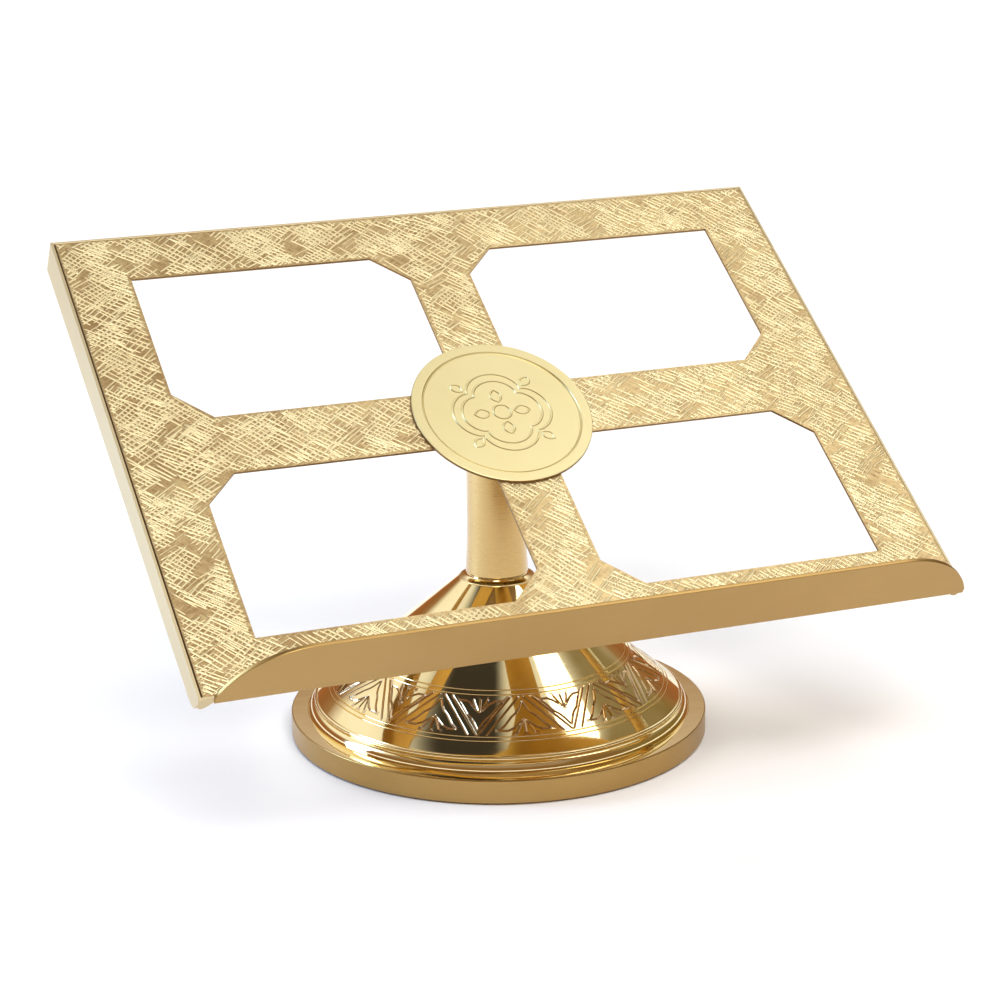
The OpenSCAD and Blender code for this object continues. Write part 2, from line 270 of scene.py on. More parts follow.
@finish("pale_brass_face")
def pale_face(bench):
    place = bench.place()
    grain = bench.noise(place, 1.9, 4.0, 0.65)
    cloud = bench.noise(place, 0.04, 2.0)
    return {
        "Base Color": bench.mixed(bench.clamped(0.5 * grain + cloud - 0.2), PALE_BRASS, CREAM_BRASS),
        "Metallic": 1.0,
        "Roughness": 0.36 + 0.1 * (cloud - 0.5),
        "Normal": bench.bump(grain, 0.00003, 0.4),
    }


@finish("polished_brass")
def polished(bench):
    place = bench.place()
    smear = bench.noise(bench.scaled(place, (1, 1, 3)), 0.05, 4.0, 0.6)
    scuff = bench.noise(bench.scaled(place, (0.1, 0.1, 1)), 4.0, 2.0)
    return {
        "Base Color": bench.mixed(smear, colour(0.84, 0.66, 0.32), colour(0.95, 0.82, 0.50)),
        "Metallic": 1.0,
        "Roughness": bench.clamped(0.03 + 0.07 * bench.steps(smear, 0.45, 0.75) + 0.03 * scuff),
        "Normal": bench.bump(bench.noise(place, 0.12, 2.0), 0.00004, 0.3),
    }


@finish("bright_cut_brass")
def bright_cut(bench):
    grain = bench.noise(bench.place(), 3.0, 2.0)
    return {
        "Base Color": bench.mixed(grain, colour(0.55, 0.37, 0.20), colour(0.78, 0.60, 0.36)),
        "Metallic": 1.0,
        "Roughness": 0.18 + 0.12 * (grain - 0.5),
    }


def streak(bench, place, lean):
    """Noise drawn out along one lean of the hatching."""
    turned = bench.node("VectorRotate", {"rotation_type": "Z_AXIS"}, {"Vector": place, "Angle": -lean})
    return bench.noise(bench.scaled(turned, (0.14, 1, 1)), 1.0, 2.0)


@finish("hatched_ground")
def hatched_ground(bench):
    """Ground between the hatching strokes, streaked along both of their leans; darker than the ridges partly as
    toning, partly as painted shade.
    """
    place = bench.place()
    cut = bench.maths("MAXIMUM", *[streak(bench, place, lean) for lean in LEANS])
    fleck = bench.noise(place, 1.1, 3.0, 0.65)
    cloud = bench.noise(place, 0.03, 3.0, 0.55)
    # Painted light: the ground is lightened towards the front right, where the light falls on the sheet, and
    # left darker towards the back left.
    towards_corner = bench.node("VectorMath", {"operation": "DOT_PRODUCT"}, {0: place, 1: (1, -0.5, 0)}, 1)
    painted_light_front_right = bench.steps(towards_corner, -200, 60)
    tone = bench.clamped(1.7 * cut + 0.5 * fleck + 0.8 * cloud + 0.30 * painted_light_front_right - 1.42)
    return {
        "Base Color": bench.mixed(tone, colour(0.33, 0.215, 0.095), colour(0.80, 0.63, 0.33)),
        "Metallic": 1.0,
        "Roughness": 0.44 + 0.2 * (fleck - 0.5),
        "Normal": bench.bump(cut, 0.00012, 0.7),
    }


# Painted highlight: the ridges get a paler brass than the ground, standing in for the light the strokes catch.
@finish("hatched_ridge")
def hatched_ridge(bench):
    place = bench.place()
    fleck = bench.noise(place, 1.3, 2.0, 0.6)
    cloud = bench.noise(place, 0.035, 2.0)
    return {
        "Base Color": bench.mixed(bench.clamped(0.8 * fleck + cloud - 0.4), colour(0.78, 0.64, 0.35),
                                  colour(0.93, 0.82, 0.52)),
        "Metallic": 1.0,
        "Roughness": 0.42 + 0.15 * (fleck - 0.5),
        "Normal": bench.bump(fleck, 0.00005, 0.5),
    }


@finish("cut_edge_painted_shade")
def cut_edge_painted_shade(bench):
    """Dark edge of the sheet and of the medallion's rim: unpolished metal, darkened with painted shade for the
    shadow in the seams and under the rim.
    """
    grain = bench.noise(bench.place(), 0.9, 3.0, 0.6)
    return {
        "Base Color": bench.mixed(grain, colour(0.17, 0.095, 0.04), colour(0.36, 0.23, 0.10)),
        "Metallic": 1.0,
        "Roughness": 0.45 + 0.2 * (grain - 0.5),
    }


@finish("toned_back")
def toned_back(bench):
    place = bench.place()
    grain = bench.noise(bench.scaled(place, (0.05, 1, 1)), 1.6, 4.0, 0.6)
    cloud = bench.noise(place, 0.03, 2.0)
    return {
        "Base Color": bench.mixed(bench.clamped(grain + cloud - 0.5), colour(0.50, 0.29, 0.07),
                                  colour(0.68, 0.42, 0.11)),
        "Metallic": 1.0,
        "Roughness": 0.38 + 0.15 * (grain - 0.5),
        "Normal": bench.bump(grain, 0.00003, 0.5),
    }


def plain_steel(light, dark, roughness):
    def build(bench):
        place = bench.place()
        grain = bench.noise(place, 1.2, 4.0, 0.6)
        return {
            "Base Color": bench.mixed(grain, dark, light),
            "Metallic": 1.0,
            "Roughness": roughness + 0.15 * (grain - 0.5),
            "Normal": bench.bump(grain, 0.00003, 0.4),
        }
    return build


zinc_steel = finish("zinc_steel")(plain_steel(colour(0.66, 0.67, 0.69), colour(0.48, 0.49, 0.52), 0.34))
black_steel = finish("black_steel")(plain_steel(colour(0.05, 0.05, 0.055), colour(0.02, 0.02, 0.022), 0.5))


@finish("cast_iron")
def cast_iron(bench):
    place = bench.place()
    pits = bench.noise(place, 0.9, 6.0, 0.7)
    return {
        "Base Color": bench.mixed(pits, colour(0.03, 0.03, 0.032), colour(0.12, 0.115, 0.11)),
        "Metallic": 0.6,
        "Roughness": 0.72 + 0.2 * (pits - 0.5),
        "Normal": bench.bump(pits, 0.0004, 0.8),
    }


@finish("green_felt")
def green_felt(bench):
    place = bench.place()
    fibre = bench.noise(place, 2.2, 6.0, 0.75)
    mottle = bench.noise(place, 0.06, 3.0)
    return {
        "Base Color": bench.mixed(bench.clamped(0.7 * fibre + 0.5 * mottle), colour(0.004, 0.028, 0.014),
                                  colour(0.022, 0.095, 0.05)),
        "Roughness": 0.96,
        "Sheen Weight": 0.5,
        "Normal": bench.bump(fibre, 0.0005, 0.9),
    }


def plain_plastic(light, dark, roughness):
    def build(bench):
        grain = bench.noise(bench.place(), 0.6, 4.0, 0.6)
        return {
            "Base Color": bench.mixed(grain, dark, light),
            "Roughness": roughness + 0.1 * (grain - 0.5),
            "Normal": bench.bump(grain, 0.00005, 0.4),
        }
    return build


nylon = finish("nylon")(plain_plastic(colour(0.78, 0.75, 0.66), colour(0.66, 0.62, 0.52), 0.45))
red_fibre = finish("red_fibre")(plain_plastic(colour(0.26, 0.06, 0.03), colour(0.15, 0.035, 0.02), 0.65))


# ---- making pieces ----

def place_piece(name, mesh, finishes, body, node=None, at=None):
    """Puts a mesh into the scene as a piece of the stand."""
    piece = bpy.data.objects.new(name, mesh)
    bpy.context.scene.collection.objects.link(piece)
    for material in finishes:
        mesh.materials.append(material)
    if at is not None:
        piece.matrix_world = at
    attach(piece, body)
    if node:
        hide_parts(node)
    return piece


class Metal:
    """Points and faces of one piece, with the exact direction that each corner of a face looks in."""

    GRID = 2e-6

    def __init__(self):
        self.points, self.faces, self.normals, self.finishes, self.cells = [], [], [], [], {}

    def point(self, at):
        """The number of the point here, shared with any point already in the same place."""
        cell = tuple(round(value / self.GRID) for value in at)
        for near in ((x, y, z) for x in (0, -1, 1) for y in (0, -1, 1) for z in (0, -1, 1)):
            found = self.cells.get(tuple(c + n for c, n in zip(cell, near)))
            if found is not None:
                return found
        self.cells[cell] = len(self.points)
        self.points.append(tuple(at))
        return self.cells[cell]

    def face(self, corners, normals, finish_number=0):
        numbers = [self.point(corner) for corner in corners]
        kept = [i for i, number in enumerate(numbers) if number != numbers[i - 1]]
        if len(kept) < 3:
            return
        self.faces.append([numbers[i] for i in kept])
        self.normals.extend(normals[i] for i in kept)
        self.finishes.append(finish_number)

    def mesh(self, name):
        mesh = bpy.data.meshes.new(name)
        mesh.from_pydata(self.points, [], self.faces)
        mesh.polygons.foreach_set("material_index", self.finishes)
        mesh.polygons.foreach_set("use_smooth", [True] * len(self.faces))
        mesh.update()
        mesh.normals_split_custom_set(self.normals)
        return mesh


def rounded(centre, radius, start, end, steps=ROUND_STEPS):
    """Points of an arc about a centre, angles in degrees, from start to end."""
    return [(centre[0] + radius * math.cos(math.radians(start + (end - start) * i / steps)),
             centre[1] + radius * math.sin(math.radians(start + (end - start) * i / steps)))
            for i in range(steps + 1)]


def groove(start, along, width, depth, steps=6):
    """Profile of a hollow half-round groove that starts at a point and runs in a direction."""
    dx, dz = along
    points = []
    for i in range(steps + 1):
        share = i / steps
        sink = depth * math.sin(math.pi * share) ** 0.8 if 0 < i < steps else 0
        points.append((start[0] + dx * width * share - dz * sink, start[1] + dz * width * share + dx * sink))
    return points


GENTLE_BEND = math.radians(32)  # bends up to this one are shaded smooth
TURNED_STEPS = 160              # sides of a small turned piece


def turn_profile(metal, profile, segments):
    """Turns a profile of (radius, height, finish) points round the Z axis, outside to the right of travel."""
    previous = [(-1, 0, 0)] + profile
    profile = [now for before, now in zip(previous, profile) if math.dist(before[:2], now[:2]) > 1e-7]
    sides = [Vector((r1 - r0, z1 - z0)) for (r0, z0, _), (r1, z1, _) in zip(profile, profile[1:])]
    outward = [Vector((side.y, -side.x)).normalized() for side in sides]

    def shared(first, second):
        """Direction of a corner between two stretches: blended by their lengths if the bend is gentle."""
        if outward[first].angle(outward[second]) > GENTLE_BEND:
            return None
        return (outward[first] * sides[first].length + outward[second] * sides[second].length).normalized()

    for i, side in enumerate(sides):
        before = (shared(i - 1, i) if i else None) or outward[i]
        after = (shared(i, i + 1) if i + 1 < len(sides) else None) or outward[i]
        (r0, z0, number), (r1, z1, _) = profile[i], profile[i + 1]
        for step in range(segments):
            a, b = TURN * step / segments, TURN * ((step + 1) % segments) / segments
            corners = [(r * math.cos(t), r * math.sin(t), z) for r, z, t in
                       ((r0, z0, a), (r0, z0, b), (r1, z1, b), (r1, z1, a))]
            normals = [(n.x * math.cos(t), n.x * math.sin(t), n.y) for n, t in
                       ((before, a), (before, b), (after, b), (after, a))]
            metal.face(corners, normals, number)


def with_finish(points, number=0):
    return [(r, z, number) for r, z in points]


def millimetres(profile):
    return [(r * MM, z * MM, number) for r, z, number in profile]


# ---- foot ----

foot_low, foot_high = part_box("base_shell")
stem_low, stem_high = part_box("stem_tube")
neck_low, neck_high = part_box("neck_bush")

FOOT_R = foot_high.x / MM
RIM_LOW = foot_low.z / MM
CONE_TOP = foot_high.z / MM
STEM_FOOT_R = stem_high.x / MM
CONE_TOP_R = STEM_FOOT_R + 3.1
RIM_H = 11.8                    # height of the satin rim
RIM_LEDGE = 8.3                 # flat ledge between the rim and the moulding
RIM_EDGE = 0.6                  # radius that breaks the rim's edges
QUIRK_D = 0.35                  # depth of the sunk line at the foot of the moulding
OVOLO_W, OVOLO_H = 3.1, 4.6     # quarter-round moulding
OVOLO_R = FOOT_R - RIM_LEDGE
BEAD_R = 1.0                    # small bead above the moulding
BEAD_X = OVOLO_R - OVOLO_W - 0.4
BAND_R = BEAD_X - 0.5           # where the cone starts
BAND_Z = RIM_H + OVOLO_H + 2 * BEAD_R + 0.2
SHELL_T = 1.5                   # thickness of the spun sheet
CRIMP_W = 3.0                   # rim rolled in under the base cover
SHELL_HOLE_R = 8                # hole for the collar's bush
SLOPE = math.atan2(CONE_TOP - BAND_Z, BAND_R - CONE_TOP_R)
UP_CONE = (-math.cos(SLOPE), math.sin(SLOPE))            # along the cone, towards the stem
CONE_OUT = Vector((math.sin(SLOPE), math.cos(SLOPE)))    # square to the cone, outwards

MOTIFS = 11                     # engraved triangles round the foot
STEPS_PER_MOTIF = 22
FOOT_STEPS = MOTIFS * STEPS_PER_MOTIF
LINE_W, LINE_D = 0.95, 0.5      # turned lines either side of the engraved band
LOWER_LINES = (79.6, 78.0)      # radii where the turned lines start
UPPER_LINES = (61.6, 59.8)
ENGRAVED = (77.2, 61.75)        # radii between which the band is engraved
CUT_HALF, CUT_D = 0.58, 0.42    # half width and depth of an engraver's cut
CUT_TAPER = 0.5                 # length over which a cut runs out at its ends
FIRST_APEX = math.radians(-90 - 21.8 - 7.7)


def on_cone(radius):
    return radius, BAND_Z + (BAND_R - radius) * math.tan(SLOPE)


def foot_profiles():
    """The shell's outside in two runs, below and above the engraved band."""
    satin, bright = 1, 0
    rim = [(FOOT_R - SHELL_T - CRIMP_W, RIM_LOW + 1), (FOOT_R - SHELL_T - CRIMP_W, RIM_LOW)]
    rim += rounded((FOOT_R - RIM_EDGE, RIM_LOW + RIM_EDGE), RIM_EDGE, -90, 0)
    rim += rounded((FOOT_R - RIM_EDGE, RIM_H - RIM_EDGE), RIM_EDGE, 0, 90)[:-1]
    ledge = [(FOOT_R - RIM_EDGE, RIM_H), (OVOLO_R + 0.7, RIM_H), (OVOLO_R + 0.45, RIM_H - QUIRK_D),
             (OVOLO_R + 0.1, RIM_H - QUIRK_D)]
    ovolo = [(OVOLO_R - OVOLO_W + OVOLO_W * math.cos(a), RIM_H + OVOLO_H * math.sin(a))
             for a in (math.pi / 2 * i / 12 for i in range(13))]
    bead = rounded((BEAD_X, RIM_H + OVOLO_H + BEAD_R), BEAD_R, -60, 95, 8)
    lower = [(BAND_R + 0.15, BAND_Z - 0.35), (BAND_R - 0.2, on_cone(BAND_R - 0.2)[1])]
    for radius in LOWER_LINES:
        lower += groove(on_cone(radius), UP_CONE, LINE_W, LINE_D)
    lower.append(on_cone(ENGRAVED[0]))
    upper = [on_cone(ENGRAVED[1])]
    for radius in UPPER_LINES:
        upper += groove(on_cone(radius), UP_CONE, LINE_W, LINE_D)
    upper += [on_cone(radius) for radius in (50, 40, 30, 22)]
    upper += [on_cone(CONE_TOP_R + 0.25), (CONE_TOP_R - 0.1, CONE_TOP), (neck_high.x / MM - 1, CONE_TOP)]
    outside = with_finish(rim, satin) + with_finish(ledge + ovolo + bead + lower, bright)
    return outside, with_finish(upper, bright)


def shell_inside():
    drop = SHELL_T / math.cos(SLOPE)
    ceiling = CONE_TOP - SHELL_T
    inner, cone_foot = FOOT_R - SHELL_T, BAND_R - SHELL_T
    points = [(SHELL_HOLE_R, CONE_TOP), (SHELL_HOLE_R, ceiling),
              (CONE_TOP_R - (drop - SHELL_T) / math.tan(SLOPE), ceiling),
              (cone_foot, BAND_Z + SHELL_T * math.tan(SLOPE) - drop), (cone_foot, RIM_H - SHELL_T),
              (inner, RIM_H - SHELL_T), (inner, RIM_LOW + 1), (inner - CRIMP_W, RIM_LOW + 1)]
    return with_finish(points)


def motif_strokes():
    """One engraved motif as polylines of (across, up): across from -1 to 1, up from 0 to 1.

    A zigzag ribbon with two outlines makes a triangle that points down, and half of the
    triangles beside it, which point up; each holds an outlined shield with three small leaves."""
    def both(points):
        return [points, [(-x, y) for x, y in points]]

    def shield(top, middle, turned):
        """Shield and leaves inside a triangle; turned ones hang from the lower line."""
        half = [(top, 0.87), (top - 0.13, 0.74), (middle + 0.08, 0.53), (middle - 0.03, 0.43),
                (middle - 0.10, 0.33), (0.0, 0.13)]
        brow = [(top - 0.02, 0.87), (top - 0.2, 0.87), (top - 0.33, 0.80), (0.06, 0.64)]
        side_leaf = [(0.19, 0.93), (0.13, 0.80), (0.03, 0.60)]
        strokes = both(half) + both(brow) + both(side_leaf) + [[(0, 0.93), (0, 0.56)]]
        return [[(x, 1 - y) for x, y in stroke] for stroke in strokes] if turned else strokes

    strokes = both([(0.01, 0.01), (0.75, 0.99)]) + both([(0.19, 0.01), (0.95, 0.99)])
    strokes += shield(0.56, 0.20, False)
    for side in (-1, 1):
        strokes += [[(x + side, y) for x, y in stroke] for stroke in shield(0.56, 0.20, True)]
    return strokes


def engrave(metal):
    """Cuts the motif into the cone: laid flat, meshed along every cut, and rolled up again."""
    squeeze = math.cos(SLOPE)
    far, near = ENGRAVED[0] / squeeze, ENGRAVED[1] / squeeze
    half_turn = TURN / MOTIFS / 2 * squeeze

    def flat(across, up):
        distance, angle = far + (near - far) * up, across * half_turn
        return Vector((distance * math.sin(angle), distance * math.cos(angle)))

    cuts = []                   # (start, end, half width at start, half width at end)
    points, edges = [], []

    def chain(run, closed=False):
        first = len(points)
        points.extend(run)
        edges.extend((first + i, first + i + 1) for i in range(len(run) - 1))
        if closed:
            edges.append((first + len(run) - 1, first))

    for shift in (-2, 0, 2):
        for stroke in motif_strokes():
            run = [flat(x + shift, y) for x, y in stroke]
            if min(abs(x + shift) for x, y in stroke) > 1.2:
                continue
            onward, back = (run[1] - run[0]).normalized(), (run[-2] - run[-1]).normalized()
            line = [run[0], run[0] + onward * CUT_TAPER, *run[1:-1], run[-1] + back * CUT_TAPER, run[-1]]
            halves = [0] + [CUT_HALF] * (len(line) - 2) + [0]
            left, right = [], []
            for i in range(1, len(line) - 1):
                before, after = (line[i] - line[i - 1]).normalized(), (line[i + 1] - line[i]).normalized()
                square = Vector((-(before + after).y, (before + after).x)).normalized()
                reach = CUT_HALF / max(0.5, square.dot(Vector((-before.y, before.x))))
                left.append(line[i] + square * reach)
                right.append(line[i] - square * reach)
            chain([line[0]] + left + [line[-1]] + right[::-1], True)
            chain(line)
            cuts.extend(zip(line, line[1:], halves, halves[1:]))

    def cut_depth(at):
        deepest = 0.0
        for start, end, half_start, half_end in cuts:
            along = end - start
            share = min(1.0, max(0.0, (at - start).dot(along) / along.length_squared))
            half = half_start + (half_end - half_start) * share
            if half > 1e-4:
                off = (at - start - along * share).length
                deepest = max(deepest, (1 - off / half) * min(1.0, half / CUT_HALF))
        return deepest * CUT_D if deepest > 1e-3 else 0.0

    steps = STEPS_PER_MOTIF
    rows = 11
    chain([flat(-1 + 2 * i / steps, 0) for i in range(steps + 1)]
          + [flat(1, i / rows) for i in range(1, rows)]
          + [flat(1 - 2 * i / steps, 1) for i in range(steps + 1)]
          + [flat(-1, 1 - i / rows) for i in range(1, rows)], True)
    for row in range(1, rows):
        for column in range(1, steps):
            spot = flat(-1 + 2 * column / steps, row / rows)
            if all((spot - p).length > 0.5 for p in points) and cut_depth(spot) == 0:
                points.append(spot)
    flat_points, _, faces, *_ = delaunay_2d_cdt(points, edges, [], 0, 1e-5)
    depths = [cut_depth(point) for point in flat_points]

    kept = []
    for face in faces:
        centre = sum((flat_points[i] for i in face), Vector((0, 0))) / len(face)
        angle, distance = math.atan2(centre.x, centre.y), centre.length
        if abs(angle) < half_turn and near < distance < far:
            kept.append(face)
    for motif in range(MOTIFS):
        centre_angle = FIRST_APEX + TURN * motif / MOTIFS
        rolled = []
        for point, depth in zip(flat_points, depths):
            around = centre_angle + math.atan2(point.x, point.y) / squeeze
            radius, height = on_cone(point.length * squeeze)
            radius -= CONE_OUT.x * depth
            height -= CONE_OUT.y * depth
            spot = Vector((radius * math.cos(around), radius * math.sin(around), height)) * MM
            rolled.append((spot, around))
        for face in kept:
            corners = [rolled[i][0] for i in face]
            flat_normal = (corners[1] - corners[0]).cross(corners[2] - corners[0])
            turns = [rolled[i][1] for i in face]
            if flat_normal.z < 0:
                corners, turns, flat_normal = corners[::-1], turns[::-1], -flat_normal
            if max(depths[i] for i in face) < 1e-6:
                normals = [(CONE_OUT.x * math.cos(turn), CONE_OUT.x * math.sin(turn), CONE_OUT.y)
                           for turn in turns]
                metal.face(corners, normals, 0)
            else:
                metal.face(corners, [tuple(flat_normal.normalized())] * len(face), 2)


def make_foot():
    metal = Metal()
    outside, upper = foot_profiles()
    first = FIRST_APEX - TURN / MOTIFS / 2
    turned = Metal()
    turn_profile(turned, millimetres(outside), FOOT_STEPS)
    turn_profile(turned, millimetres(upper), FOOT_STEPS)
    turn_profile(turned, millimetres(shell_inside()), FOOT_STEPS)
    swing = Matrix.Rotation(first, 3, "Z")
    corner = 0
    for face, number in zip(turned.faces, turned.finishes):
        corners = [swing @ Vector(turned.points[i]) for i in face]
        normals = [tuple(swing @ Vector(turned.normals[corner + i])) for i in range(len(face))]
        corner += len(face)
        metal.face(corners, normals, number)
    engrave(metal)
    place_piece("foot_spun_shell", metal.mesh("foot_spun_shell"),
                [polished(), satin_turned(), bright_cut()], "base", "base_shell")


def turned_piece(name, profile, finishes, body, node):
    metal = Metal()
    turn_profile(metal, millimetres(profile), TURNED_STEPS)
    return place_piece(name, metal.mesh(name), finishes, body, node)


def curve(start, pull, end, steps):
    """Points from start to end, drawn towards pull."""
    return [tuple((1 - t) ** 2 * a + 2 * t * (1 - t) * b + t * t * c for a, b, c in zip(start, pull, end))
            for t in (i / steps for i in range(steps + 1))]


def make_neck():
    top = neck_high.z / MM
    waist_r = STEM_FOOT_R - 0.9
    foot = CONE_TOP_R - 0.2
    bore = 4.05
    profile = [(bore, neck_low.z / MM), (SHELL_HOLE_R - 1, neck_low.z / MM), (SHELL_HOLE_R, neck_low.z / MM + 1),
               (SHELL_HOLE_R, CONE_TOP), (foot, CONE_TOP), (foot, CONE_TOP + 0.25)]
    profile += curve((foot - 0.15, CONE_TOP + 0.4), (waist_r, CONE_TOP + 0.6), (waist_r, top - 0.2), 8)
    profile += [(waist_r - 0.2, top), (bore, top), (bore, neck_low.z / MM)]
    turned_piece("neck_collar", with_finish(profile), [polished()], "base", "neck_bush")


def make_stem():
    low, high = stem_low.z / MM, stem_high.z / MM
    stem_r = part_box("knuckle_head")[1].x / MM
    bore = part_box("stem_foot_plug")[1].x / MM
    flare_h = 25
    profile = [(bore, low), (STEM_FOOT_R - 0.3, low)]
    profile += rounded((STEM_FOOT_R - 0.3, low + 0.3), 0.3, -90, 0)
    profile += curve((STEM_FOOT_R, low + 0.3), (stem_r, low + flare_h / 2), (stem_r, low + flare_h), 12)[1:]
    profile += rounded((stem_r - 0.2, high - 0.2), 0.2, 0, 90)
    profile += [(bore, high), (bore, low)]
    turned_piece("stem_satin_tube", with_finish(profile), [satin_tube()], "stem", "stem_tube")


# ---- copies of frame parts with their edges broken ----

def softened(node, finishes, width, in_desk=False, choose=None, name=None):
    """A copy of a node whose sharp edges are rounded over, and which stands for it."""
    source = frame["nodes"][node]
    mesh = source.data.copy()
    mesh.materials.clear()
    if in_desk:
        mesh.transform(DESK_BACK)
    work = bmesh.new()
    work.from_mesh(mesh)
    bmesh.ops.remove_doubles(work, verts=work.verts, dist=2e-6)
    bmesh.ops.dissolve_limit(work, angle_limit=math.radians(0.6), verts=work.verts, edges=work.edges)
    sharp = [edge for edge in work.edges if edge.is_manifold and edge.calc_face_angle(0) > math.radians(28)]
    bmesh.ops.bevel(work, geom=sharp, offset=width * MM, segments=2, profile=0.5, affect="EDGES",
                    clamp_overlap=True, harden_normals=False)
    if choose:
        for face in work.faces:
            face.material_index = choose(face)
    for face in work.faces:
        face.smooth = True
    work.to_mesh(mesh)
    work.free()
    if mesh.attributes.get("custom_normal"):
        mesh.attributes.remove(mesh.attributes["custom_normal"])
    piece = place_piece(name or node + "_finished", mesh, finishes, source["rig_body"], node,
                        DESK if in_desk else None)
    weigh_normals(piece)
    return piece


def weigh_normals(piece):
    """Keeps flat faces flat beside their rounded edges."""
    for edge in piece.data.edges:
        edge.use_edge_sharp = False
    modifier = piece.modifiers.new("flat_faces", "WEIGHTED_NORMAL")
    modifier.weight = 100
    modifier.keep_sharp = False


# ---- desk ----

PATCH = 12 * MM                 # size of the patches in which the sheet was hatched
RIDGE_H = 0.14 * MM             # rise of a hatching stroke
CROSSED = 0.85                  # share of the patches that are worked with both leans
LEAN_SPREAD, WOBBLE = 8, 2.5    # degrees by which a patch and a stroke may stray from their lean
SPACING = (1.9, 2.5)            # between the strokes of a patch, in millimetres
MISSED = 0.1                    # share of the strokes left out
HALF_STROKE = (5.0, 8.5)        # half a stroke's length, in millimetres
STROKE_W = (0.7, 1.25)          # a stroke's width, in millimetres
BARE_MARGIN = 0.6 * MM          # kept free along the windows
plate_low, plate_high = desk_box("desk_plate")
medal_low, medal_high = desk_box("medallion")
FACE = plate_high.z
SEAM, SEAM_LEFT = 0.15 * MM, 0.8 * MM       # groove between the sheet's face and its rails
MEDAL_R = medal_high.x
SCREWS_Y = desk_box("yoke_screws")[1].y + MM


def window_corners():
    """Outlines of the four windows in the desk's frame, from the sheet's mesh."""
    outlines = []
    sheet = frame["nodes"]["desk_plate"].data
    top = [DESK_BACK @ vertex.co for vertex in sheet.vertices]
    edge_points = {(round(p.x, 6), round(p.y, 6)) for p in top if abs(p.z - FACE) < 1e-5
                   and abs(p.x) < plate_high.x - 0.001 and abs(p.y) < plate_high.y - 0.001
                   and abs(p.y) > SCREWS_Y}
    for right in (-1, 1):
        for back in (-1, 1):
            corners = [p for p in edge_points if p[0] * right > 0 and p[1] * back > 0]
            middle = Vector((sum(p[0] for p in corners), sum(p[1] for p in corners))) / len(corners)
            corners.sort(key=lambda p: math.atan2(p[1] - middle.y, p[0] - middle.x))
            outlines.append([Vector(p) for p in corners])
    return outlines


WINDOWS = window_corners()


def inside_outline(outline, at):
    """Signed room to a convex outline's nearest side, positive inside."""
    room = 1.0
    for start, end in zip(outline, outline[1:] + outline[:1]):
        along = (end - start).normalized()
        room = min(room, along.x * (at.y - start.y) - along.y * (at.x - start.x))
    return room


def on_sheet(at, margin):
    """True if a point is on bare sheet, clear of edges, windows, ledge and medallion."""
    if not plate_low.x + SEAM_LEFT + margin / 3 < at.x < plate_high.x - SEAM - margin / 3:
        return False
    if not plate_low.y + margin / 3 < at.y < plate_high.y - SEAM - margin / 3:
        return False
    if at.length < MEDAL_R - 0.5 * MM:
        return False
    return all(inside_outline(outline, at) < -margin for outline in WINDOWS)


def ridge(work, start, end, width, height, number):
    """A low closed ridge with pointed ends, standing on the desk's face."""
    along = end - start
    square = Vector((-along.y, along.x)).normalized() * width / 2
    sunk = FACE - 0.03 * MM
    rings = []
    for share, full in ((0, 0.2), (0.14, 1.0), (0.86, 1.0), (1, 0.2)):
        top = FACE + height * (1 if 0 < share < 1 else 0.1)
        rings.append([work.verts.new((*(start + along * share + square * full * aside), up))
                      for aside, up in ((1, sunk), (0.35, top), (-0.35, top), (-1, sunk))])
    faces = [work.faces.new(rings[0]), work.faces.new(rings[-1][::-1])]
    for first, second in zip(rings, rings[1:]):
        for i in range(4):
            j = (i + 1) % 4
            faces.append(work.faces.new((first[i], second[i], second[j], first[j])))
    for face in faces:
        face.material_index = number
        face.smooth = True


def hatch_runs():
    """Straight strokes of the hand hatching, in patches worked with one lean or with both."""
    chance = random.Random(1907)
    columns, rows = int(plate_high.x * 2 / PATCH) + 2, int(plate_high.y * 2 / PATCH) + 2
    for row in range(rows):
        for column in range(columns):
            middle = Vector((column - (columns - row % 2) / 2, row - (rows - 1) / 2)) * PATCH
            middle += Vector((chance.uniform(-4, 4), chance.uniform(-4, 4))) * MM
            crossed = chance.random() < CROSSED
            chosen = LEANS if crossed else (LEANS[(row + column + (chance.random() < 0.25)) % 2],)
            for lean in chosen:
                lean += math.radians(chance.uniform(-LEAN_SPREAD, LEAN_SPREAD))
                along = Vector((math.cos(lean), math.sin(lean)))
                square = Vector((-along.y, along.x))
                spacing = chance.uniform(*SPACING) * MM
                half_rows = round(PATCH * 0.56 / spacing)
                for line in range(-half_rows, half_rows + 1):
                    if chance.random() < MISSED:
                        continue
                    spot = middle + square * (line * spacing + chance.uniform(-0.25, 0.25) * MM)
                    spot += along * chance.uniform(-2.5, 2.5) * MM
                    reach = chance.uniform(*HALF_STROKE) * MM
                    way = Matrix.Rotation(math.radians(chance.uniform(-WOBBLE, WOBBLE)), 2) @ along
                    yield spot - way * reach, spot + way * reach, chance.uniform(*STROKE_W) * MM


def hatch(work, number):
    """Lays the strokes on the sheet, each cut back to the bare metal."""
    pieces = 14
    for start, end, width in hatch_runs():
        along = end - start
        bare = [on_sheet(start + along * (i / pieces), BARE_MARGIN) for i in range(pieces + 1)] + [False]
        first = None
        for i, free in enumerate(bare):
            if free and first is None:
                first = i
            if not free and first is not None:
                if (i - 1 - first) * along.length / pieces > 2 * MM:
                    ridge(work, start + along * (first / pieces), start + along * ((i - 1) / pieces), width,
                          RIDGE_H, number)
                first = None


